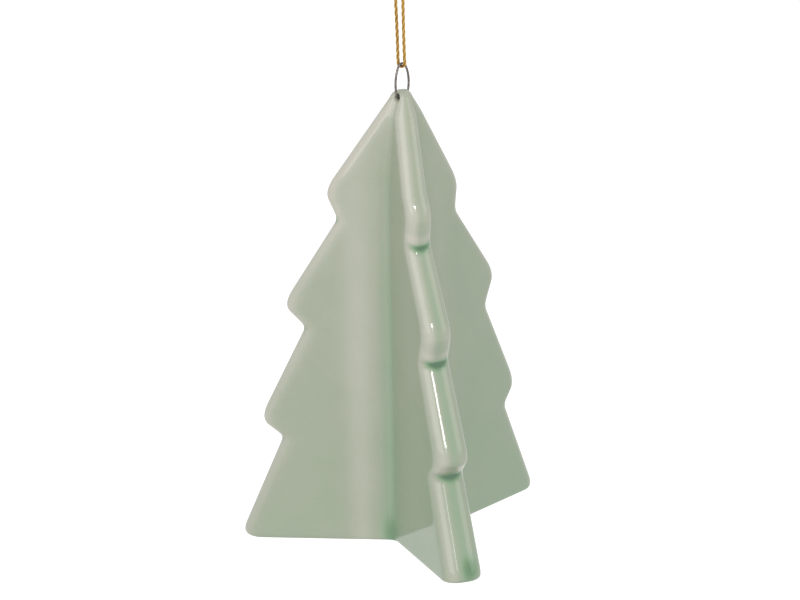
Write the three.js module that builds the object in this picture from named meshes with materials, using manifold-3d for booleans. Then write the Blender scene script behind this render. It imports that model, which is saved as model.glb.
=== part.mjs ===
// A hanging ornament: a glazed ceramic tree of three upright wings, a wire ring through its top
// and a doubled cord. Millimetres, +Z up. The origin is the top of the cord's loop, just under
// the knot, where a hook would carry it
import * as THREE from 'three';
import { mergeVertices } from 'three/addons/utils/BufferGeometryUtils.js';
import Module from 'manifold-3d';

// Tree: heights are above its flat foot, reaches are from its upright axis to a wing's outer edge
const treeHeight = 97.5;
const crown = { reach: 2.7, height: 95.6, domeReach: 1.9 };
const footReach = 36.8;

// Wings, with the (reach, height) of their tips and notches from the top down. They differ a little,
// as a hand-finished casting's do. Seen from the rim with the top up, a wing stands "aside" of the
// axis to the right, or to the left where it is negative
const wings = [
  {
    azimuth: -90,
    aside: -2.4,
    tips: [[16.25, 75], [25.05, 51], [31.85, 25.3]],
    notches: [[14.75, 67.5], [22.1, 44.2], [27.6, 21.25]],
  },
  {
    azimuth: 31,
    aside: 0.35,
    tips: [[15.9, 73.85], [26.7, 50.55], [32, 24.95]],
    notches: [[14.65, 67.6], [23.15, 44.2], [28.2, 20.85]],
  },
  {
    azimuth: 151,
    aside: 2.7,
    tips: [[16.5, 76.15], [26.1, 51.05], [31.8, 25.85]],
    notches: [[13.95, 70], [21.5, 46.25], [27, 22.05]],
  },
];
const fullAsideReach = 13.9;
const tipRound = { above: 3.6, below: 1.9 };
const notchRound = { above: 1.45, below: 1.45 };
const footRound = { above: 3, below: 2.6 };
const footEdgeRadius = 0.9;
const footHalfThickness = 4.3;
const crownHalfThickness = 2.28;
const rimRounding = 0.8;
const crownRimRounding = 0.95;
const crownBlendHeight = 80;
const rootFillet = 2.6;
const crownHalfPerReach = 0.5;
const crownFilletPerReach = 0.3;
const arcSteps = 4;

// Hole through the top of the tree, and the oval wire ring in it
const holeRadius = 0.8;
const holeBelowTop = 1.5;
const holeAzimuth = 35;
const holeCutLength = 12;
const ringOffset = 0.22;
const wireRadius = 0.26;
const ring = { halfWidth: 2.4, bottomRadius: 2.3, topRadius: 1.6, sideRadius: 6.6 };
const ringBelowHole = 0.45;
const ringJointGap = 0.3;
const ringSteps = 44;
const roundSides = 8;

// Cord: one strand's route (across, height) from the knot to the bight, in the upright plane
// across the ring's plane
const cordRadius = 0.35;
const cordDrop = 52;
const cordClearance = 0.1;
const strandRoute = [
  [0.5, 0.8], [1, -0.9], [1.8, -3], [2.35, -6], [2.4, -10], [2.05, -16],
  [1.5, -23], [1.1, -31], [0.9, -39], [0.83, -45], [0.82, -49.8],
];
const bightRadius = 0.82;
const bightTurns = [0, 45, 90];
const stepsBetweenPoints = 3;
const knot = { radius: 1.65, bottom: 1.1, height: 3.7, flatRadius: 1.1 };
const tail = { length: 6.2, lean: 22, offset: 0.5, sunk: 1.1, topRadius: 0.31 };

const wasm = await Module();
wasm.setup();

const radians = THREE.MathUtils.degToRad;
const lerp = THREE.MathUtils.lerp;
const clamp = THREE.MathUtils.clamp;

// Boolean solid of a closed geometry, and back
function toSolid(geometry) {
  const bare = geometry.clone();
  bare.deleteAttribute('normal');
  bare.deleteAttribute('uv');
  const merged = mergeVertices(bare);
  return new wasm.Manifold(new wasm.Mesh({
    numProp: 3,
    vertProperties: new Float32Array(merged.attributes.position.array),
    triVerts: new Uint32Array(merged.index.array),
  }));
}

function toGeometry(solid) {
  const mesh = solid.getMesh();
  const geometry = new THREE.BufferGeometry();
  geometry.setAttribute('position', new THREE.BufferAttribute(new Float32Array(mesh.vertProperties), 3));
  geometry.setIndex(new THREE.BufferAttribute(new Uint32Array(mesh.triVerts), 1));
  geometry.computeVertexNormals();
  return geometry;
}

// Points of an arc about (x, y), both ends included
function arc(x, y, radius, startDegrees, endDegrees, steps = arcSteps) {
  const points = [];
  for (let i = 0; i <= steps; i++) {
    const angle = radians(lerp(startDegrees, endDegrees, i / steps));
    points.push(new THREE.Vector2(x + radius * Math.cos(angle), y + radius * Math.sin(angle)));
  }
  return points;
}

const toward = (from, to, distance) => from.clone().add(to.clone().sub(from).setLength(distance));

// Edge of a wing from the crown to the foot, as (reach, height) points, with rounded corners
function wingEdge({ tips, notches }) {
  const path = new THREE.Path();
  path.moveTo(0, treeHeight);
  path.quadraticCurveTo(crown.domeReach, treeHeight, crown.reach, crown.height);
  const corners = tips.flatMap((tip, i) => [
    { at: new THREE.Vector2(...tip), round: tipRound },
    { at: new THREE.Vector2(...notches[i]), round: notchRound },
  ]);
  corners.push({ at: new THREE.Vector2(footReach, 0), round: footRound });
  const end = new THREE.Vector2(0, 0);
  let from = path.currentPoint.clone();
  corners.forEach((corner, i) => {
    const next = i + 1 < corners.length ? corners[i + 1].at : end;
    const into = toward(corner.at, from, corner.round.above);
    path.lineTo(into.x, into.y);
    from = toward(corner.at, next, corner.round.below);
    path.quadraticCurveTo(corner.at.x, corner.at.y, from.x, from.y);
  });
  return path.getPoints(arcSteps).slice(1);
}

// How a wing is made where its edge has this reach and height. The wings thin toward the top, where
// they merge into a rounded crown. The foot's edge is rounded
function wingLevel({ aside }, { x: reach, y: height }) {
  const thickness = lerp(footHalfThickness, crownHalfThickness, height / treeHeight);
  const rise = Math.max(0, footEdgeRadius - height);
  const inset = footEdgeRadius - Math.sqrt(footEdgeRadius ** 2 - rise ** 2);
  const half = Math.min(thickness, reach * crownHalfPerReach) - inset;
  const blend = Math.max(0, (height - crownBlendHeight) / (treeHeight - crownBlendHeight));
  const shift = aside * clamp((reach - crown.reach) / (fullAsideReach - crown.reach), 0, 1);
  return {
    reach,
    height,
    corner: half * lerp(rimRounding, crownRimRounding, blend),
    fillet: Math.min(rootFillet, reach * crownFilletPerReach) + inset,
    faceBefore: half - shift,
    faceAfter: half + shift,
  };
}

// Half of a wing's section, along +X from its root: a fillet halfway round the gap to the next wing,
// a flat face and a rounded rim corner. The fillet touches both wings' faces, which stand "face" and
// "nextFace" from their own lines through the axis
function halfSection(gap, { reach, corner, fillet }, face, nextFace) {
  const centreY = face + fillet;
  const centreX = (nextFace + fillet + Math.cos(radians(gap)) * centreY) / Math.sin(radians(gap));
  return [
    ...arc(centreX, centreY, fillet, 180 + gap / 2, 270),
    ...arc(reach - corner, face - corner, corner, 90, 0),
  ];
}

// Ring of points round all the wings, counter-clockwise
function ringOfPoints(levels) {
  return levels.flatMap((level, i) => {
    const next = (i + 1) % wings.length;
    const last = (i + wings.length - 1) % wings.length;
    const { azimuth } = wings[i];
    const gapAfter = (wings[next].azimuth - azimuth + 360) % 360;
    const gapBefore = (azimuth - wings[last].azimuth + 360) % 360;
    const before = halfSection(gapBefore, level, level.faceBefore, levels[last].faceAfter);
    const after = halfSection(gapAfter, level, level.faceAfter, levels[next].faceBefore);
    const mirrored = before.map((p) => new THREE.Vector2(p.x, -p.y));
    return [...mirrored.slice(1), ...after.reverse()].map((p) => {
      p.rotateAround(new THREE.Vector2(), radians(azimuth));
      return new THREE.Vector3(p.x, p.y, level.height);
    });
  });
}

// Closed body through rings of points with equal counts, listed from the top down
function loft(rings) {
  const count = rings[0].length;
  const vertices = rings.flat();
  const indices = [];
  for (let level = 0; level + 1 < rings.length; level++) {
    for (let i = 0; i < count; i++) {
      const next = (i + 1) % count;
      const upper = level * count;
      const lower = upper + count;
      indices.push(upper + i, lower + i, lower + next);
      indices.push(upper + i, lower + next, upper + next);
    }
  }
  const last = (rings.length - 1) * count;
  const top = vertices.length;
  vertices.push(new THREE.Vector3(0, 0, rings[0][0].z), new THREE.Vector3(0, 0, vertices[last].z));
  for (let i = 0; i < count; i++) {
    const next = (i + 1) % count;
    indices.push(top, i, next);
    indices.push(top + 1, last + next, last + i);
  }
  const geometry = new THREE.BufferGeometry().setFromPoints(vertices);
  geometry.setIndex(indices);
  return geometry;
}

// The wings, cast in one, with the hole across the crown
function ceramicTree() {
  const edges = wings.map(wingEdge);
  const levels = edges[0].map((_, row) => wings.map((wing, i) => wingLevel(wing, edges[i][row])));
  const hole = new THREE.CylinderGeometry(holeRadius, holeRadius, holeCutLength, 4 * arcSteps);
  hole.rotateZ(Math.PI / 2);
  hole.rotateZ(radians(holeAzimuth));
  hole.translate(0, 0, treeHeight - holeBelowTop);
  return toGeometry(toSolid(loft(levels.map(ringOfPoints))).subtract(toSolid(hole)));
}

// Oval of four tangent arcs, counter-clockwise from its butt joint at the bottom. Its widest
// level is height 0
const sideDrop = Math.sqrt((ring.halfWidth - ring.bottomRadius)
  * (2 * ring.sideRadius - ring.halfWidth - ring.bottomRadius));
const sideRise = Math.sqrt((ring.halfWidth - ring.topRadius)
  * (2 * ring.sideRadius - ring.halfWidth - ring.topRadius));
const ringTop = sideRise + ring.topRadius;
const ringBottom = -sideDrop - ring.bottomRadius;

function ringOutline() {
  const sideX = ring.sideRadius - ring.halfWidth;
  const low = Math.atan2(sideDrop, sideX);
  const high = Math.atan2(sideRise, sideX);
  const joint = ringJointGap / 2 / ring.bottomRadius;
  const path = new THREE.Path();
  path.absarc(0, -sideDrop, ring.bottomRadius, -Math.PI / 2 + joint, -low, false);
  path.absarc(-sideX, 0, ring.sideRadius, -low, high, false);
  path.absarc(0, sideRise, ring.topRadius, high, Math.PI - high, false);
  path.absarc(sideX, 0, ring.sideRadius, Math.PI - high, Math.PI + low, false);
  path.absarc(0, -sideDrop, ring.bottomRadius, Math.PI + low, 1.5 * Math.PI - joint, false);
  return path;
}

// Curve whose steps follow its listed points, so that tight bends can have more of them
class ListedRoute extends THREE.CatmullRomCurve3 {
  getPointAt(t, target) {
    return this.getPoint(t, target);
  }

  getTangentAt(t, target) {
    return this.getTangent(t, target);
  }
}

function roundTube(route, radius, steps) {
  const outline = new THREE.Shape(arc(0, 0, radius, 0, 360 - 360 / roundSides, roundSides - 1));
  return new THREE.ExtrudeGeometry(outline, { extrudePath: route, steps, curveSegments: roundSides });
}

// The ring stands in the local XZ plane, with its widest level at height 0
function wireRing() {
  const points = ringOutline().getSpacedPoints(ringSteps);
  const route = new ListedRoute(points.map((p) => new THREE.Vector3(p.x, 0, p.y)));
  return roundTube(route, wireRadius, ringSteps);
}

// The doubled cord hangs in the local YZ plane, down one strand, round the bight and up the other
function hangingCord() {
  const bightCentre = -cordDrop + bightRadius;
  const turns = bightTurns.map((turn) => [
    bightRadius * Math.cos(radians(turn)),
    bightCentre - bightRadius * Math.sin(radians(turn)),
  ]);
  const half = [...strandRoute, ...turns];
  const other = half.slice(0, -1).map(([across, height]) => [-across, height]);
  const all = [...half, ...other.reverse()];
  const route = new ListedRoute(all.map(([across, height]) => new THREE.Vector3(0, across, height)));
  return roundTube(route, cordRadius, (all.length - 1) * stepsBetweenPoints);
}

// Rounded lump, flat where the strands meet it, with the cord's two trimmed ends standing out of its top
function cordKnot() {
  const middle = knot.height / 2;
  const flatAngle = Math.acos(knot.flatRadius / knot.radius);
  const profile = [new THREE.Vector2(0, 0)];
  for (let i = 0; i <= 2 * arcSteps; i++) {
    const angle = lerp(-flatAngle, Math.PI / 2, i / (2 * arcSteps));
    const rise = angle < 0 ? middle / Math.sin(flatAngle) : middle;
    const x = i === 2 * arcSteps ? 0 : knot.radius * Math.cos(angle);
    profile.push(new THREE.Vector2(x, middle + rise * Math.sin(angle)));
  }
  const lump = new THREE.LatheGeometry(profile, 4 * arcSteps);
  lump.rotateX(Math.PI / 2);
  let body = toSolid(lump);
  for (const side of [-1, 1]) {
    const end = new THREE.CylinderGeometry(tail.topRadius, cordRadius, tail.length, roundSides);
    end.translate(0, tail.length / 2, 0);
    end.rotateX(Math.PI / 2 - side * radians(tail.lean));
    end.translate(0, side * tail.offset, knot.height - tail.sunk);
    body = body.add(toSolid(end));
  }
  return toGeometry(body);
}

function finish(color, roughness, metalness) {
  return new THREE.MeshStandardMaterial({ color, roughness, metalness });
}

function piece(name, geometry, material) {
  const mesh = new THREE.Mesh(geometry, material);
  mesh.name = name;
  return mesh;
}

const ringMiddle = -cordDrop + cordRadius + cordClearance + wireRadius - ringTop;
const holeHeight = ringMiddle + ringBottom + ringBelowHole;

const ornament = new THREE.Group();
const hanging = new THREE.Group();
hanging.rotation.z = radians(holeAzimuth);
ornament.add(hanging);

const cordGold = [0xb98a3c, 0.45, 0.5];
const cord = piece('hanging_cord', hangingCord(), finish(...cordGold));
hanging.add(cord);
const topKnot = piece('cord_knot', cordKnot(), finish(...cordGold));
topKnot.position.z = knot.bottom;
hanging.add(topKnot);
const wire = piece('wire_ring', wireRing(), finish(0x6b6664, 0.4, 0.9));
wire.position.z = ringMiddle;
hanging.add(wire);

const tree = piece('ceramic_tree', ceramicTree(), finish(0xb4baa6, 0.12, 0));
const offset = new THREE.Vector3(-ringOffset, 0, 0).applyEuler(hanging.rotation);
tree.position.set(offset.x, offset.y, holeHeight + holeBelowTop - treeHeight);
ornament.add(tree);

export default ornament;
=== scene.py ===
# A glazed ceramic tree hung from a wire ring and a doubled gold cord, dressed on its CAD frame.
# Metres, +Z up. The origin is the top of the cord's loop, as in the frame. Each piece is worked out
# in its own millimetres and then placed.
import math

import bpy
import numpy as np
from mathutils import Matrix, Vector


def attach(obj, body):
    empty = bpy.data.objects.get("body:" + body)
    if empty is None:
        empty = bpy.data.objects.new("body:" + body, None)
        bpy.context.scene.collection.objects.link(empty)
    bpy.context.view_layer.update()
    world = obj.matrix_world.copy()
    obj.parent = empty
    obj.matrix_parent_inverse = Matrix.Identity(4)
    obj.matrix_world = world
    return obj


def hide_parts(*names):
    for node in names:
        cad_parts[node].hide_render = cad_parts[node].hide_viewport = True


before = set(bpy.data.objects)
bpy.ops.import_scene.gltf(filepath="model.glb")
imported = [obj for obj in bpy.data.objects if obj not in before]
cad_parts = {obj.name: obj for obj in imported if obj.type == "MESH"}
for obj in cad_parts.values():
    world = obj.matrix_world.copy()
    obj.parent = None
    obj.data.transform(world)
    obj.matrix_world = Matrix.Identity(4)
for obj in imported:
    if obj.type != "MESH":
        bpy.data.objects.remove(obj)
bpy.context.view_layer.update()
mm = 0.001
print("frame loaded:", ", ".join(sorted(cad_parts)))

# The ring and the cord's loop stand square to each other, turned this far about the upright axis
hangingTurn = math.radians(35)


def turned(points, angle):
    # points turned by an angle about +Z
    cos, sin = math.cos(angle), math.sin(angle)
    x, y, z = np.moveaxis(np.asarray(points, float), -1, 0)
    return np.stack([x * cos - y * sin, x * sin + y * cos, z], -1)


def hung(points):
    # from the cord's and the ring's own millimetres to metres in the frame
    return turned(points, hangingTurn) * mm


def addObject(name, data):
    obj = bpy.data.objects.new(name, data)
    bpy.context.scene.collection.objects.link(obj)
    return obj


# Camera: at the photograph's angle, with a long lens. It looks at the middle of the ceramic
camera = {
    "azimuth": -19.77,
    "elevation": 18.58,
    "roll": 1.99,
    "distance": 3.0,
    "pixelsPerMm": 4.777,
    "middleInImage": (409.95, 310.6),
    "middle": (0, 0, -0.105625),
    "imageSize": (800, 600),
    "sensor": 36,
    "clipEnd": 100,
}


def makeCamera(s):
    # roll turns the camera's right and up; its aim is moved so that the middle falls on its pixel
    a, e, r = (math.radians(s[k]) for k in ("azimuth", "elevation", "roll"))
    back = Vector((math.sin(a) * math.cos(e), -math.cos(a) * math.cos(e), math.sin(e)))
    right = Vector((math.cos(a), math.sin(a), 0))
    up = back.cross(right)
    imageRight = math.cos(r) * right - math.sin(r) * up
    imageUp = math.sin(r) * right + math.cos(r) * up
    width, height = s["imageSize"]
    metresPerPixel = mm / s["pixelsPerMm"]
    aim = Vector(s["middle"])
    aim -= imageRight * (s["middleInImage"][0] - width / 2) * metresPerPixel
    aim += imageUp * (s["middleInImage"][1] - height / 2) * metresPerPixel
    data = bpy.data.cameras.new("camera")
    data.sensor_fit = "HORIZONTAL"
    data.sensor_width = s["sensor"]
    data.lens = s["distance"] / mm * s["pixelsPerMm"] / width * s["sensor"]
    data.clip_end = s["clipEnd"]
    obj = addObject("camera", data)
    axes = Matrix((imageRight, imageUp, back)).transposed().to_4x4()
    obj.matrix_world = Matrix.Translation(aim + back * s["distance"]) @ axes
    bpy.context.scene.camera = obj


makeCamera(camera)


def linear(hexText):
    # sRGB hex to linear RGBA, by the sRGB standard's curve
    values = [int(hexText[i:i + 2], 16) / 255 for i in (1, 3, 5)]
    return (*[v / 12.92 if v <= 0.04045 else ((v + 0.055) / 1.055) ** 2.4 for v in values], 1)


def addNode(owner, kind, values=None, links=None):
    # values are sockets by name or number, or else the node's own settings; links are sockets too
    node = owner.node_tree.nodes.new("ShaderNode" + kind)
    for key, value in (values or {}).items():
        if isinstance(key, int) or key in node.inputs:
            node.inputs[key].default_value = value
        else:
            setattr(node, key, value)
    for key, source in (links or {}).items():
        owner.node_tree.links.new(source, node.inputs[key])
    return node


def addMath(owner, operation, *terms, clamp=False):
    # one step of arithmetic; each term is a number or another node's output
    numbers = {i: term for i, term in enumerate(terms) if isinstance(term, (int, float))}
    sources = {i: term for i, term in enumerate(terms) if i not in numbers}
    return addNode(owner, "Math", {"operation": operation, "use_clamp": clamp, **numbers}, sources).outputs[0]


def addNoise(owner, sizeMm, detail, roughness=0.5):
    # noise from 0 to 1 in the object's own coordinates, with its largest lumps about sizeMm across
    place = addNode(owner, "TexCoord")
    values = {"Scale": 1 / (sizeMm * mm), "Detail": detail, "Roughness": roughness}
    return addNode(owner, "TexNoise", values, {"Vector": place.outputs["Object"]}).outputs["Fac"]


def addRamp(owner, source, stops):
    # a colour from a value, by stops of (value, sRGB hex) in order
    node = addNode(owner, "ValToRGB", links={"Fac": source})
    elements = node.color_ramp.elements
    while len(elements) < len(stops):
        elements.new(0.5)
    for element, (position, shade) in zip(elements, stops):
        element.position = position
        element.color = linear(shade)
    return node.outputs["Color"]


def addBump(owner, height, relief):
    # relief is the bump's strength and its depth in millimetres
    strength, depth = relief
    values = {"Strength": strength, "Distance": depth * mm}
    return addNode(owner, "Bump", values, {"Height": height}).outputs["Normal"]


def newMaterial(name):
    material = bpy.data.materials.new(name)
    material.use_nodes = True
    material.node_tree.nodes.clear()
    return material


def addSurface(material, values, links):
    # the material's shader, from constant values and from other nodes
    shader = addNode(material, "BsdfPrincipled", values, links)
    addNode(material, "OutputMaterial", links={"Surface": shader.outputs["BSDF"]})


def newMesh(name, points, faces):
    # a smooth mesh object; faces is a list of arrays of point numbers
    mesh = bpy.data.meshes.new(name)
    mesh.from_pydata(points.tolist(), [], [f for part in faces for f in part.tolist()])
    mesh.polygons.foreach_set("use_smooth", np.ones(len(mesh.polygons), bool))
    mesh.update()
    return addObject(name, mesh)


def closedSkin(rings, ends):
    # Points and faces of a closed form, from rings of points (ring, point, xyz) and two end points:
    # quads from each ring to the next, then triangles from the first and last rings to their ends
    count, sides = rings.shape[:2]
    index = np.arange(count * sides).reshape(count, sides)
    after = np.roll(index, -1, axis=1)
    quads = np.stack([after[:-1], after[1:], index[1:], index[:-1]], -1).reshape(-1, 4)
    startFan = np.stack([np.full(sides, index.size), after[0], index[0]], -1)
    endFan = np.stack([index[-1], after[-1], np.full(sides, index.size + 1)], -1)
    return np.vstack([rings.reshape(-1, 3), ends]), [quads, startFan, endFan]


def joinSkins(skins):
    # one list of points and faces from several
    points, faces, first = [], [], 0
    for skinPoints, skinFaces in skins:
        points.append(skinPoints)
        faces += [f + first for f in skinFaces]
        first += len(skinPoints)
    return np.vstack(points), faces


def directionsAcross(centres, across):
    # two unit directions at each point of a path: the given one made square to the path, and the one
    # square to both
    along = np.gradient(centres, axis=0)
    along /= np.linalg.norm(along, axis=1)[:, None]
    n = np.broadcast_to(across, centres.shape)
    n = n - (n * along).sum(1)[:, None] * along
    n = n / np.linalg.norm(n, axis=1)[:, None]
    return n, np.cross(along, n)


def tubeSkin(centres, radius, sides, across):
    # circles square to a path: each point is centre + radius * (cos n + sin b), where n and b are the
    # directions across. The ends close on their centres
    n, b = directionsAcross(centres, across)
    angle = (2 * np.pi * np.arange(sides) / sides)[:, None]
    circles = centres[:, None] + radius * (np.cos(angle) * n[:, None] + np.sin(angle) * b[:, None])
    return closedSkin(circles, [centres[0], centres[-1]])


def lengthAlong(line):
    # how far along a line each of its points is
    steps = np.linalg.norm(np.diff(line, axis=0), axis=1)
    return np.concatenate([[0], np.cumsum(steps)])


def smoothLine(points, perSpan):
    # Catmull-Rom curve through the points, with the ends run on straight
    p = np.asarray(points, float)
    p = np.vstack([2 * p[0] - p[1], p, 2 * p[-1] - p[-2]])
    t = (np.arange(perSpan) / perSpan)[None, :, None]
    a, b, c, d = (p[i:len(p) - 3 + i, None] for i in range(4))
    line = 0.5 * (2 * b + (c - a) * t + (2 * a - 5 * b + 4 * c - d) * t**2 + (3 * b - a - 3 * c + d) * t**3)
    return np.vstack([line.reshape(-1, p.shape[1]), p[-2:-1]])


def evenSteps(line, step):
    # the same line with points an even step apart
    length = lengthAlong(line)
    at = np.linspace(0, length[-1], int(length[-1] / step) + 2)
    return np.stack([np.interp(at, length, line[:, k]) for k in range(line.shape[1])], 1)


# Gold cord: metallised film wound on a brown core thread and twisted. Its colour is light gold on the
# open crown of each ply, partly a painted glint, and falls to brown in the grooves between them as painted
# shade
goldThread = {
    # the groove's brown is painted shade and the crown's light gold partly a painted glint, picked by how
    # open each place is
    "stops": [(0.15, "#553312"), (0.55, "#865e20"), (0.95, "#ba9346")],    # groove, body and crown
    "paintedShadeMm": 0.6,
    "paintedShadeRays": 8,
    "wrapMm": 0.3,          # the film's own wraps, real about 0.15 mm and drawn twice as coarse to show
    "wrapShade": 0.1,
    "wrapRelief": (0.5, 0.03),
    "patchMm": 2.5,
    "patchDetail": 2,
    "patchShade": (0.45, -0.22),    # how much patches shade, and what centres them on no change
    "metallic": 0.55,
    "roughness": 0.42,
}


def goldThreadMaterial(s):
    # tone = painted shade from how open the place is + the wraps' wave + patches, and the wraps climb one in
    # each turn
    material = newMaterial("metallised_thread")
    uv = addNode(material, "UVMap", {"uv_map": "twist"})
    parts = addNode(material, "SeparateXYZ", links={"Vector": uv.outputs["UV"]})
    wraps = addMath(material, "MULTIPLY_ADD", parts.outputs["Y"], 1 / s["wrapMm"], parts.outputs["X"])
    wave = addMath(material, "SINE", addMath(material, "MULTIPLY", wraps, 2 * math.pi))
    # painted shade: ambient occlusion darkens the colour in the grooves between the plies
    paintedShade = addNode(material, "AmbientOcclusion", {
        "Distance": s["paintedShadeMm"] * mm, "samples": s["paintedShadeRays"]})
    shade = addMath(material, "MULTIPLY_ADD", wave, s["wrapShade"], paintedShade.outputs["AO"])
    noise = addNoise(material, s["patchMm"], s["patchDetail"])
    patches = addMath(material, "MULTIPLY_ADD", noise, *s["patchShade"])
    tone = addMath(material, "ADD", shade, patches, clamp=True)
    addSurface(material, {"Metallic": s["metallic"], "Roughness": s["roughness"]}, {
        "Base Color": addRamp(material, tone, s["stops"]),
        "Normal": addBump(material, wave, s["wrapRelief"])})
    return material


goldMaterial = goldThreadMaterial(goldThread)

# Cord: three plies laid round each other. One strand's route is (across, height) from the knot to
# the bight under the ring's top wire, as in the CAD source. The plies' crowns reach a little past
# the radius of the CAD's plain tube
cord = {
    "radius": 0.35,
    "route": [
        (0.5, 0.8), (1, -0.9), (1.8, -3), (2.35, -6), (2.4, -10), (2.05, -16),
        (1.5, -23), (1.1, -31), (0.9, -39), (0.83, -45), (0.82, -49.8)],
    "bightRadius": 0.82,
    "bightPoints": (0, 45, 90),     # degrees round the bight, to its lowest point
    "drop": 52,
    "perSpan": 12,
    "step": 0.18,
    "plies": 3,
    "lay": 4.8,
    "plyOffset": 0.2,
    "plyRadius": 0.18,
    "plySides": 10,
}


def cordCentres(s):
    # down one strand, half a turn round the bight, and up the mirrored strand, in the local YZ plane
    angle = np.radians(s["bightPoints"])
    middle = s["bightRadius"] - s["drop"]
    bight = np.stack([np.cos(angle), -np.sin(angle)], 1) * s["bightRadius"] + (0, middle)
    half = np.vstack([s["route"], bight])
    whole = np.vstack([half, half[-2::-1] * (-1, 1)])
    line = evenSteps(smoothLine(whole, s["perSpan"]), s["step"])
    return np.column_stack([np.zeros(len(line)), line])


def layPlies(centres, across, s, size=1):
    # Each ply is a helix about the centre line: centre + offset * (cos n + sin b), with one turn in
    # each lay length. size makes the plies thinner. With each ply goes its length so far
    n, b = directionsAcross(centres, across)
    length = lengthAlong(centres)
    plies = []
    for ply in range(s["plies"]):
        angle = 2 * np.pi * (length / s["lay"] + ply / s["plies"])[:, None]
        path = centres + size * s["plyOffset"] * (np.cos(angle) * n + np.sin(angle) * b)
        plies.append((tubeSkin(path, size * s["plyRadius"], s["plySides"], across), length))
    return plies


def twistMap(mesh, lengths, sides):
    # UV for each face corner, in the order of closedSkin's faces: turns round the ply, and
    # millimetres along it
    uv = []
    for length in lengths:
        shape = (len(length) - 1, sides)
        u0 = np.broadcast_to(np.arange(sides) / sides, shape)
        u1 = u0 + 1 / sides
        v0, v1 = (np.broadcast_to(v[:, None], shape) for v in (length[:-1], length[1:]))
        corners = [np.stack(pair, -1) for pair in ((u1, v0), (u1, v1), (u0, v1), (u0, v0))]
        uv.append(np.stack(corners, 2).reshape(-1, 2))
        uv += [np.tile([[0, end]], (3 * sides, 1)) for end in (length[0], length[-1])]
    layer = mesh.uv_layers.new(name="twist")
    layer.data.foreach_set("uv", np.vstack(uv).ravel().astype(np.float32))


def newThread(name, plies, s):
    # one object of twisted gold thread
    points, faces = joinSkins([skin for skin, _ in plies])
    obj = newMesh(name, hung(points), faces)
    twistMap(obj.data, [length for _, length in plies], s["plySides"])
    obj.data.materials.append(goldMaterial)
    return obj


def makeCord(s):
    centres = cordCentres(s)
    obj = newThread("gold_cord", layPlies(centres, (1, 0, 0), s), s)
    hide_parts("hanging_cord")
    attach(obj, "cord")
    return obj, hung(centres)


goldCord, cordPath = makeCord(cord)

# Knot: an overhand knot in the doubled cord, with the two cut ends standing out of its top
knot = {
    "middle": 2.95,
    "span": 1.95,
    "points": 26,
    "scale": (0.48, 0.13, 0.33),        # millimetres for each unit of the knot's x, height and depth
    "fadeFrom": 1.5,
    "fade": 0.75,
    "entry": [(0, 0.5, 0.75), (0, 0.4, 1.1)],
    "strandShift": (0.27, 0.33, 0),     # how far each strand lies from the knot's middle
    "tailTips": [(0.25, 1.6, 8.9), (-0.2, -1.7, 9.2)],
    "perSpan": 14,
    "plySize": 0.85,                    # the cord is squeezed in the knot
    "across": turned((0.31, 0.77, 0.55), -hangingTurn),     # the strands never run this way
}


def knotPath(s):
    # An overhand knot drawn out long: x = t^3 - 3t, height = t^5 - 10t and depth = t^4 - 4t^2 + 2,
    # each times its scale. Its ends fade in to the knot's own axis
    t = np.linspace(-s["span"], s["span"], s["points"])
    fade = 1 - s["fade"] * np.clip((np.abs(t) - s["fadeFrom"]) / (s["span"] - s["fadeFrom"]), 0, 1) ** 2
    scaleX, scaleZ, scaleY = s["scale"]
    x = (t**3 - 3 * t) * scaleX * fade
    y = (t**4 - 4 * t**2 + 2) * scaleY * fade
    z = (t**5 - 10 * t) * scaleZ + s["middle"]
    return np.stack([x, y, z], 1)


def makeKnot(s, c):
    # the doubled cord's two strands run side by side through the knot, each from its entry to its tip
    plies = []
    for side, tip in zip((1, -1), s["tailTips"]):
        entry = np.array(s["entry"]) * (1, side, 1)
        route = np.vstack([entry, knotPath(s) + side * np.array(s["strandShift"]), tip])
        line = evenSteps(smoothLine(route, s["perSpan"]), c["step"])
        plies += layPlies(line, s["across"], c, s["plySize"])
    obj = newThread("overhand_knot", plies, c)
    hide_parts("cord_knot")
    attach(obj, "cord")
    return obj


overhandKnot = makeKnot(knot, cord)
print("knot tied")

# Steel wire: dull and brown-grey, with small patches of darker scale
drawnWire = {
    "stops": [(0.35, "#57504c"), (0.65, "#8d8782")],    # dull and bright
    "scaleMm": 0.5,
    "scaleDetail": 4,
    "roughness": (0.32, 0.5),
    "relief": (0.25, 0.02),
}


def drawnWireMaterial(s):
    # one noise gives the colour, the roughness and the relief
    material = newMaterial("drawn_steel_wire")
    scale = addNoise(material, s["scaleMm"], s["scaleDetail"])
    low, high = s["roughness"]
    rough = addNode(material, "MapRange", {"To Min": low, "To Max": high}, {"Value": scale})
    addSurface(material, {"Metallic": 1}, {
        "Base Color": addRamp(material, scale, s["stops"]),
        "Roughness": rough.outputs["Result"],
        "Normal": addBump(material, scale, s["relief"])})
    return material


# Wire ring: an oval of four tangent arcs, bent from drawn wire. Its butt joint is in the tree's
# hole. The wire is a little thinner than in the CAD source, so that it clears the tree as it swings
wireRing = {
    "wireRadius": 0.25,
    "halfWidth": 2.4,
    "bottomRadius": 2.3,
    "topRadius": 1.6,
    "sideRadius": 6.6,
    "jointGap": 0.3,
    "cordClearance": 0.11,
    "arcPoints": 40,
    "step": 0.14,
    "sides": 20,
}


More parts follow.
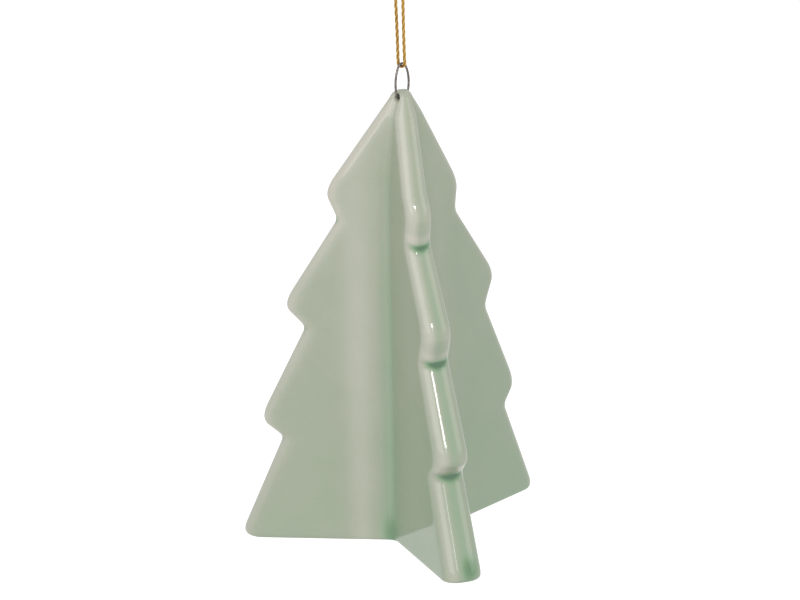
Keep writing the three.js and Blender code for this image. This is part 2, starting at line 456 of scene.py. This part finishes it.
def ringCentres(s):
    # The ring in the local XZ plane, and the height of its lowest point. Its arcs run from the joint
    # at the bottom, counter-clockwise: bottom, side, top, side and bottom
    sideX = s["sideRadius"] - s["halfWidth"]
    low = math.sqrt((s["sideRadius"] - s["bottomRadius"]) ** 2 - sideX**2)
    high = math.sqrt((s["sideRadius"] - s["topRadius"]) ** 2 - sideX**2)
    lowAngle, highAngle = math.atan2(low, sideX), math.atan2(high, sideX)
    joint = s["jointGap"] / 2 / s["bottomRadius"]
    arcs = [
        (0, -low, s["bottomRadius"], joint - math.pi / 2, -lowAngle),
        (-sideX, 0, s["sideRadius"], -lowAngle, highAngle),
        (0, high, s["topRadius"], highAngle, math.pi - highAngle),
        (sideX, 0, s["sideRadius"], math.pi - highAngle, math.pi + lowAngle),
        (0, -low, s["bottomRadius"], math.pi + lowAngle, 1.5 * math.pi - joint)]
    parts = []
    for x, z, radius, start, end in arcs:
        angle = np.linspace(start, end, s["arcPoints"])[:-1]
        parts.append(np.stack([x + radius * np.cos(angle), z + radius * np.sin(angle)], 1))
    line = evenSteps(np.vstack(parts), s["step"])
    cordTop = cord["radius"] - cord["drop"]
    middle = cordTop + s["cordClearance"] + s["wireRadius"] - high - s["topRadius"]
    line = np.column_stack([line[:, 0], np.zeros(len(line)), line[:, 1] + middle])
    return line, middle - low - s["bottomRadius"]


def makeRing(s, line):
    points, faces = tubeSkin(line, s["wireRadius"], s["sides"], (0, 1, 0))
    obj = newMesh("oval_wire_ring", hung(points), faces)
    obj.data.materials.append(drawnWireMaterial(drawnWire))
    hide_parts("wire_ring")
    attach(obj, "ring")


ringLine, ringBottom = ringCentres(wireRing)
makeRing(wireRing, ringLine)
print("ring bent")

# Tree: three wings cast in one, with four tiers each. Heights are above the foot and reaches are
# from the upright axis, in millimetres, as in the CAD source. The wings differ a little
tree = {
    "height": 97.5,
    "crown": (2.7, 95.6),
    "domeReach": 1.9,
    "footReach": 36.8,
    "wings": [      # azimuth, how far it stands aside of the axis, and its tips and notches (reach, height)
        (-90, -2.4,
         [(16.25, 75), (25.05, 51), (31.85, 25.3)],
         [(14.75, 67.5), (22.1, 44.2), (27.6, 21.25)]),
        (31, 0.35,
         [(15.9, 73.85), (26.7, 50.55), (32, 24.95)],
         [(14.65, 67.6), (23.15, 44.2), (28.2, 20.85)]),
        (151, 2.7,
         [(16.5, 76.15), (26.1, 51.05), (31.8, 25.85)],
         [(13.95, 70), (21.5, 46.25), (27, 22.05)])],
    "fullAsideReach": 13.9,
    "tipRound": (3.6, 1.9),         # how far a rounding runs up and down the edge from its corner
    "notchRound": (1.45, 1.45),
    "footRound": (3, 2.6),
    "footHalf": 4.3,
    "crownHalf": 2.28,
    "rimRounding": 0.8,             # the rim corner's radius, as a share of the half thickness
    "crownRimRounding": 0.95,
    "crownBlendHeight": 80,
    "rootFillet": 2.6,
    "halfPerReach": 0.5,
    "filletPerReach": 0.3,
    "footEdge": 0.9,
    "domeRows": 8,
    "spanRows": (34, 7, 27, 8, 29, 7, 34),      # rows down each straight part of the edge, from the crown
    "cornerRows": 10,
    "faceColumns": 18,
    "cornerColumns": 12,
    "rimColumns": 5,
    "filletColumns": 7,
    "holeRadius": 0.8,
    "holeBelowTop": 1.5,
    "holeSides": 48,
    "holeCutLength": 12,
    "ringBelowHole": 0.45,
    "ringOffset": 0.22,
    "bareBelow": 0.02,
}
holeHeight = ringBottom + tree["ringBelowHole"]
treeBase = holeHeight + tree["holeBelowTop"] - tree["height"]
treeOrigin = turned((-tree["ringOffset"], 0, treeBase), hangingTurn)


def bend(a, b, c, count):
    # quadratic curve from a to c that b draws out, without its first point
    t = (np.arange(count) + 1)[:, None] / count
    return (1 - t) ** 2 * a + 2 * t * (1 - t) * b + t**2 * c


def wingEdge(s, tips, notches):
    # (reach, height) down a wing's edge: straight edges with rounded tips and notches
    corners = []
    for tip, notch in zip(tips, notches):
        corners += [(np.array(tip), s["tipRound"]), (np.array(notch), s["notchRound"])]
    corners.append((np.array([s["footReach"], 0]), s["footRound"]))
    past = np.array(s["crown"], float)
    top, domeEdge = np.array([0, s["height"]]), np.array([s["domeReach"], s["height"]])
    lines = [bend(top, domeEdge, past, s["domeRows"])]
    for i, (corner, (above, below)) in enumerate(corners):
        after = corners[i + 1][0] if i + 1 < len(corners) else np.zeros(2)
        into = corner + (past - corner) * above / np.linalg.norm(past - corner)
        lines.append(bend(past, (past + into) / 2, into, s["spanRows"][i]))
        past = corner + (after - corner) * below / np.linalg.norm(after - corner)
        lines.append(bend(into, corner, past, s["cornerRows"]))
    return np.vstack(lines)


def asideShares(reach, s):
    # a wing that stands aside leaves the axis at the crown and is fully aside at fullAsideReach
    return np.clip((reach - s["crown"][0]) / (s["fullAsideReach"] - s["crown"][0]), 0, 1)


def halfThickness(height, s):
    # a wing's half thickness falls evenly from the foot to the crown
    return s["footHalf"] + (s["crownHalf"] - s["footHalf"]) * height / s["height"]


def wingSide(reach, corner, fillet, face, nextFace, gap, s):
    # One side of a wing at each level, from its root out: fillet, flat face and rounded rim corner.
    # face and nextFace are how far this wing's and its neighbour's faces stand from their own lines
    # through the axis, gap is the angle between those lines, and the fillet touches both faces
    rootX = (nextFace + fillet + math.cos(gap) * (face + fillet)) / math.sin(gap)
    turn = np.linspace(math.pi + gap / 2, 1.5 * math.pi, s["filletColumns"])
    filletX = rootX + fillet * np.cos(turn)
    filletY = face + fillet + fillet * np.sin(turn)
    faceX = rootX + (reach - corner - rootX) * np.linspace(0, 1, s["faceColumns"] + 2)[1:-1]
    faceY = np.broadcast_to(face, faceX.shape)
    turn = np.radians(np.linspace(90, 0, s["cornerColumns"]))
    rimX = reach - corner + corner * np.cos(turn)
    rimY = face - corner + corner * np.sin(turn)
    return np.hstack([filletX, faceX, rimX]), np.hstack([filletY, faceY, rimY])


def wingSections(s):
    # The tree's rings of points, one for each row of the wings' edges. Measures are columns, one row
    # for each level, and stand one wing behind the other
    azimuths = [wing[0] for wing in s["wings"]]
    edges = np.stack([wingEdge(s, tips, notches) for _, _, tips, notches in s["wings"]])
    reaches, heights = edges[..., :1], edges[..., 1:]
    rise = np.maximum(0, s["footEdge"] - heights)
    insets = s["footEdge"] - np.sqrt(s["footEdge"] ** 2 - rise**2)
    halves = np.minimum(halfThickness(heights, s), reaches * s["halfPerReach"]) - insets
    blend = np.maximum(0, (heights - s["crownBlendHeight"]) / (s["height"] - s["crownBlendHeight"]))
    rounds = halves * (s["rimRounding"] + (s["crownRimRounding"] - s["rimRounding"]) * blend)
    fillets = np.minimum(s["rootFillet"], reaches * s["filletPerReach"]) + insets
    shifts = np.array([[[wing[1]]] for wing in s["wings"]]) * asideShares(reaches, s)
    wings = []
    for i, azimuth in enumerate(azimuths):
        reach, half, corner, fillet, shift = (v[i] for v in (reaches, halves, rounds, fillets, shifts))
        sides = []
        for side, j in ((-1, i - 1), (1, (i + 1) % len(azimuths))):
            gap = math.radians((side * (azimuths[j] - azimuth)) % 360)
            face, nextFace = half + side * shift, halves[j] - side * shifts[j]
            sides.append(wingSide(reach, corner, fillet, face, nextFace, gap, s))
        (beforeX, beforeY), (afterX, afterY) = sides
        rimY = (half - corner) * np.linspace(-1, 1, s["rimColumns"] + 2)[1:-1] + shift
        rimX = np.broadcast_to(reach, rimY.shape)
        x = np.hstack([beforeX[:, 1:], rimX, afterX[:, ::-1]])
        y = np.hstack([-beforeY[:, 1:], rimY, afterY[:, ::-1]])
        z = np.broadcast_to(heights[i], x.shape)
        wings.append(turned(np.stack([x, y, z], -1), math.radians(azimuth)))
    return np.concatenate(wings, 1)


# How the glaze lies, in shares of its usual thickness and in millimetres, with painted light laid in.
# The rim's two edges are pale, partly where the glaze is thin and partly as a painted reflection of
# the white surround, and paler on one side of each wing as painted light. The glaze lies in a stripe
# along the rim's middle, and hangs in a thin smile-shaped pool under the pale lip of each notch. A
# paler band beside each crease is a painted reflection of the neighbouring wing, and a darker line
# along it is partly pooled glaze and partly painted shade. Each wing's faces carry their own painted
# shade, and the glaze thickens toward the foot. A side is across the wing, from -1 on one face to 1
# on the other
glazeAndLightLie = {
    "atTop": 0.75,
    "moreAtFoot": 0.4,
    # painted shade for each wing in turn, darker above zero and lighter below, for how the light falls on its
    # faces
    "wingPaintedShade": (0.12, 0.24, -0.03),    # for each wing in turn
    "streaksFrom": 92,                  # the height where stripes and bands begin
    "streaksOver": 40,
    "rimReach": 1.9,
    "stripe": 0.26,
    "stripeAside": 0.05,
    "stripeWidth": 0.38,
    # the rim's pale edges: partly thinner glaze, partly a painted reflection of the white surround
    "edge": 0.42,
    # painted light: one side of each wing's rim drawn paler than the other
    "edgeLightLean": (1, 0.3, -1.2),         # for each wing, how much paler its negative side's edge is
    "tip": 0.2,
    "tipHalf": 2.4,
    "pools": (2, 2.5, 2.1),             # for each notch from the top
    "poolHalf": (0.55, 0.95),           # above and below the pool's middle
    "poolReach": 1.8,
    "poolWidth": 0.75,
    "smile": 0.9,
    "lip": 0.4,
    "lipRise": 1.7,
    "lipHalf": 0.9,
    # a darker line along each crease: partly glaze pooled in it, partly painted shade
    "creasePoolAndShadeLine": 0.38,
    "creaseAt": 0.6,
    "creaseWidth": 0.9,
    # a paler band beside each crease: a painted reflection of the neighbouring wing
    "paintedReflectionBand": (0, 0.2, 0.48),         # for each wing
    "paleAt": 5.5,
    "paleWidth": 2.6,
    "creasePool": 0.7,
    "creasePoolReach": 1.6,
    "creasePoolHeight": 2,
    "creasePoolHalf": 3,
    "footPools": (1.15, 1.2, 0.1),      # for each wing
    "footPoolSide": 0.3,
    "footPoolWidth": 0.4,
    "footPoolReach": 2.4,
    "footPoolHeight": 3,
    "footPoolHalf": 2.2,
}


def bell(distance, width):
    # 1 at no distance, falling smoothly on both sides to 1/e at the width
    return np.exp(-(distance / width) ** 2)


def glazePlaces(points, s):
    # where points lie in their nearest wing: its number, their side across it, and how far they are
    # from its rim and from the crease, where two wings are equally near
    azimuths = np.radians([wing[0] for wing in s["wings"]])
    aside = np.array([wing[1] for wing in s["wings"]])
    x, y, height = points[:, :1], points[:, 1:2], points[:, 2]
    along = x * np.cos(azimuths) + y * np.sin(azimuths)
    across = y * np.cos(azimuths) - x * np.sin(azimuths) - aside * asideShares(along, s)
    wing = along.argmax(1)
    nearest = (np.arange(len(points)), wing)
    edges = [wingEdge(s, tips, notches)[::-1] for _, _, tips, notches in s["wings"]]
    reach = np.stack([np.interp(height, edge[:, 1], edge[:, 0]) for edge in edges], 1)
    fromRim = np.maximum(0, (reach - along)[nearest])
    ordered = np.sort(along, 1)
    fromCrease = (ordered[:, -1] - ordered[:, -2]) / math.sqrt(3)
    return wing, across[nearest] / halfThickness(height, s), fromRim, fromCrease


def glazeAndLightShares(points, s, lie):
    # how thick the glaze is drawn at each point, with painted light in it: an even fall from foot to top,
    # each wing's painted shade, and a bell-shaped share for each stripe, band, lip and pool that
    # glazeAndLightLie lists
    wing, side, fromRim, fromCrease = glazePlaces(points, s)
    height = points[:, 2]
    rim = bell(fromRim, lie["rimReach"])
    streaks = np.clip((lie["streaksFrom"] - height) / lie["streaksOver"], 0, 1)
    middle = bell(side - lie["stripeAside"], lie["stripeWidth"])
    # the rim's edges are paled partly as thinner glaze and partly as a painted reflection of the white
    # surround, leaning paler to one side as painted light
    lean = 1 - np.array(lie["edgeLightLean"])[wing] * side
    # each wing's own share is painted shade for how the light falls on its faces
    glaze = lie["atTop"] + lie["moreAtFoot"] * (1 - height / s["height"]) + np.array(lie["wingPaintedShade"])[wing]
    glaze += lie["stripe"] * rim * middle * streaks - lie["edge"] * lean * rim * (1 - middle)
    for tier, pool in enumerate(lie["pools"]):
        tip = np.array([tips[tier][1] for _, _, tips, _ in s["wings"]])[wing]
        notch = np.array([notches[tier][1] for _, _, _, notches in s["wings"]])[wing]
        rise = height - notch - lie["smile"] * side**2
        lies = bell(rise, np.where(rise > 0, *lie["poolHalf"])) * bell(fromRim, lie["poolReach"])
        glaze += pool * lies * bell(side**2, lie["poolWidth"] ** 2)
        glaze -= lie["lip"] * rim * bell(rise - lie["lipRise"], lie["lipHalf"])
        glaze -= lie["tip"] * rim * bell(height - tip, lie["tipHalf"])
    # a darker line along each crease: partly glaze pooled in it, partly painted shade
    glaze += lie["creasePoolAndShadeLine"] * streaks * bell(fromCrease - lie["creaseAt"], lie["creaseWidth"])
    # a paler band beside each crease: a painted reflection of the neighbouring wing
    paintedReflectionBand = np.array(lie["paintedReflectionBand"])[wing]
    glaze -= paintedReflectionBand * streaks * bell(fromCrease - lie["paleAt"], lie["paleWidth"])
    atFoot = bell(height - lie["creasePoolHeight"], lie["creasePoolHalf"])
    glaze += lie["creasePool"] * atFoot * bell(fromCrease, lie["creasePoolReach"])
    footPool = np.array(lie["footPools"])[wing] * bell(side - lie["footPoolSide"], lie["footPoolWidth"])
    atFoot = bell(height - lie["footPoolHeight"], lie["footPoolHalf"])
    return glaze + footPool * atFoot * bell(fromRim, lie["footPoolReach"])


# Celadon glaze on a pale cast body: a clear green glass, pale where it thins over edges and deeper
# green where it pools, with a wet gloss. The same colours draw the painted reflections and painted
# shade that its attribute carries. The stops are shares of its usual thickness
celadon = {
    "stops": [
        (0, "#bfbdb0"), (0.5, "#afb2a2"), (1, "#9ca590"), (1.5, "#8ca187"), (2.1, "#708f6d"), (3, "#55745a")],
    "cloudMm": 9,
    "cloudDetail": (3, 0.55),
    "cloud": 0.35,
    "speckMm": 1.1,
    "speckDetail": 2,
    "speck": 0.12,
    "waveMm": 14,
    "waveDetail": 1,
    "waveRelief": (0.35, 0.3),
    "roughness": 0.07,
    "glassIndex": 1.5,
}


def celadonMaterial(s):
    # share = (the glaze and painted light attribute + clouds + specks - their mean) / the last stop's
    # thickness
    material = newMaterial("celadon_glaze")
    thickness = addNode(material, "Attribute", {"attribute_name": "glaze"})
    clouds = addNoise(material, s["cloudMm"], *s["cloudDetail"])
    specks = addNoise(material, s["speckMm"], s["speckDetail"])
    cloudy = addMath(material, "MULTIPLY_ADD", clouds, s["cloud"], thickness.outputs["Fac"])
    specky = addMath(material, "MULTIPLY_ADD", specks, s["speck"], cloudy)
    mean, most = (s["cloud"] + s["speck"]) / 2, s["stops"][-1][0]
    share = addNode(material, "MapRange", {"From Min": mean, "From Max": most + mean}, {"Value": specky})
    stops = [(at / most, shade) for at, shade in s["stops"]]
    waves = addNoise(material, s["waveMm"], s["waveDetail"])
    addSurface(material, {"Roughness": s["roughness"], "IOR": s["glassIndex"]}, {
        "Base Color": addRamp(material, share.outputs["Result"], stops),
        "Normal": addBump(material, waves, s["waveRelief"])})
    return material


# The foot stands bare in the kiln, so its flat underside is matt, buff clay
bareClay = {
    "stops": [(0.35, "#c4b9a4"), (0.65, "#d8d0c0")],
    "gritMm": 0.5,
    "gritDetail": 4,
    "relief": (0.3, 0.05),
    "roughness": 0.85,
}


def bareClayMaterial(s):
    # one noise gives the colour and the relief
    material = newMaterial("bare_clay")
    grit = addNoise(material, s["gritMm"], s["gritDetail"])
    addSurface(material, {"Roughness": s["roughness"]}, {
        "Base Color": addRamp(material, grit, s["stops"]),
        "Normal": addBump(material, grit, s["relief"])})
    return material


def boreHole(obj, s):
    # cuts a rod out of the crown, longer than the crown is wide
    half = s["holeCutLength"] / 2
    axis = np.array([[-half, 0, holeHeight], [half, 0, holeHeight]])
    points, faces = tubeSkin(axis, s["holeRadius"], s["holeSides"], (0, 1, 0))
    rod = newMesh("hole_rod", hung(points), faces)
    cut = obj.modifiers.new("hole", "BOOLEAN")
    cut.operation, cut.solver, cut.object = "DIFFERENCE", "EXACT", rod
    mesh = bpy.data.meshes.new_from_object(obj.evaluated_get(bpy.context.evaluated_depsgraph_get()))
    obj.modifiers.clear()
    obj.data = mesh
    bpy.data.objects.remove(rod)


def readAll(items, name, width, kind):
    # one property of all of a mesh's vertices, loops or polygons, with a row for each
    values = np.empty(len(items) * width, kind)
    items.foreach_get(name, values)
    return values.reshape(-1, width)


def makeTree(s):
    rings = wingSections(s)
    points, faces = closedSkin(rings, [(0, 0, rings[0, 0, 2]), (0, 0, 0)])
    # the rings run the other way round from a tube's, so the faces are turned over
    obj = newMesh("ceramic_wings", (points + treeOrigin) * mm, [f[:, ::-1] for f in faces])
    boreHole(obj, s)
    mesh = obj.data
    own = readAll(mesh.vertices, "co", 3, float) / mm - treeOrigin
    # the attribute holds the glaze's thickness with painted reflections and painted shade in it
    glaze = mesh.attributes.new("glaze", "FLOAT", "POINT")
    glaze.data.foreach_set("value", glazeAndLightShares(own, s, glazeAndLightLie).astype(np.float32))
    # a face is on the bare underside where all its corners are
    low = own[:, 2] < s["bareBelow"]
    corners = readAll(mesh.loops, "vertex_index", 1, int)[:, 0]
    firsts = readAll(mesh.polygons, "loop_start", 1, int)[:, 0]
    under = np.logical_and.reduceat(low[corners], firsts)
    mesh.materials.clear()
    mesh.materials.append(celadonMaterial(celadon))
    mesh.materials.append(bareClayMaterial(bareClay))
    mesh.polygons.foreach_set("material_index", under.astype(int))
    mesh.polygons.foreach_set("use_smooth", ~under)
    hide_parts("ceramic_tree")
    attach(obj, "tree")
    print("tree cast:", len(mesh.polygons), "faces")


makeTree(tree)

# Studio: a white surround, dim as a light but full white where the camera, glossy surfaces and
# transmission see it, and a floor well below the foot. Two wide soft lamps light the faces from the
# left and the right, and two small ones at the front draw the streaks on the front rim
studio = {
    "surround": 0.64,
    "floorBelow": 0.25,
    "floorSize": 6,
    "floorPaint": 0.85,
    "floorLift": 0.55,          # for the rays that see the floor, and for those that mirror it
    "floorMirrorLift": 0.35,
    "lamps": [    # name, azimuth (degrees counter-clockwise from +X), elevation, distance, size, radiance
        ("front_softbox", 264.5, 34.5, 1.5, (0.36, 0.2), 18),
        ("low_softbox", 263, 25, 1.5, (0.2, 0.16), 4),
        ("left_softbox", 214, 34, 1.6, (1.3, 1.3), 1.6),
        ("right_softbox", 322, 28, 1.8, (1.1, 1.1), 1.25)],
}
white = (1, 1, 1, 1)


def rayShare(owner, *kinds):
    # 1 for rays of these kinds and 0 for the rest
    path = addNode(owner, "LightPath")
    share = path.outputs[kinds[0]]
    for kind in kinds[1:]:
        share = addMath(owner, "ADD", share, path.outputs[kind], clamp=True)
    return share


def makeSurround(s):
    world = bpy.data.worlds.new("studio")
    bpy.context.scene.world = world
    world.use_nodes = True
    world.node_tree.nodes.clear()
    seen = rayShare(world, "Is Camera Ray", "Is Glossy Ray", "Is Transmission Ray")
    light = addNode(world, "Background", {"Color": white, "Strength": s["surround"]})
    paper = addNode(world, "Background", {"Color": white, "Strength": 1})
    mix = addNode(world, "MixShader", links={"Fac": seen, 1: light.outputs[0], 2: paper.outputs[0]})
    addNode(world, "OutputWorld", links={"Surface": mix.outputs[0]})


def makeLamps(s):
    # each lamp faces the ceramic's middle, and its power is radiance * pi * area
    middle = Vector(camera["middle"])
    for name, azimuth, elevation, distance, size, radiance in s["lamps"]:
        a, e = math.radians(azimuth), math.radians(elevation)
        toward = Vector((math.cos(a) * math.cos(e), math.sin(a) * math.cos(e), math.sin(e)))
        data = bpy.data.lights.new(name, "AREA")
        data.shape = "RECTANGLE"
        data.size, data.size_y = size
        data.energy = radiance * math.pi * size[0] * size[1]
        lamp = addObject(name, data)
        facing = toward.to_track_quat("Z", "Y").to_matrix().to_4x4()
        lamp.matrix_world = Matrix.Translation(middle + toward * distance) @ facing


def floorMaterial(s):
    # The paint keeps the shadow, and a glow of floorLift * seen + floorMirrorLift * mirrored brings
    # it to white for the rays that see it. From below the floor isn't there
    material = newMaterial("studio_floor")
    seen = rayShare(material, "Is Camera Ray", "Is Transmission Ray")
    mirrored = rayShare(material, "Is Glossy Ray")
    seenGlow = addMath(material, "MULTIPLY", seen, s["floorLift"])
    glow = addMath(material, "MULTIPLY_ADD", mirrored, s["floorMirrorLift"], seenGlow)
    paint = addNode(material, "BsdfDiffuse", {"Color": (*[s["floorPaint"]] * 3, 1)})
    lift = addNode(material, "Emission", {"Color": white}, {"Strength": glow})
    lit = addNode(material, "AddShader", links={0: paint.outputs[0], 1: lift.outputs[0]})
    clear = addNode(material, "BsdfTransparent")
    side = addNode(material, "NewGeometry")
    mix = addNode(material, "MixShader", links={
        "Fac": side.outputs["Backfacing"], 1: lit.outputs[0], 2: clear.outputs[0]})
    addNode(material, "OutputMaterial", links={"Surface": mix.outputs[0]})
    return material


def makeFloor(s):
    reach, level = s["floorSize"] / 2, treeBase * mm - s["floorBelow"]
    corners = np.array([(x * reach, y * reach, level) for x, y in ((-1, -1), (1, -1), (1, 1), (-1, 1))])
    floor = newMesh("floor", corners, [np.array([[0, 1, 2, 3]])])
    floor.data.materials.append(floorMaterial(s))


makeSurround(studio)
makeLamps(studio)
makeFloor(studio)
bpy.context.scene.view_settings.view_transform = "Standard"
print("studio lit")
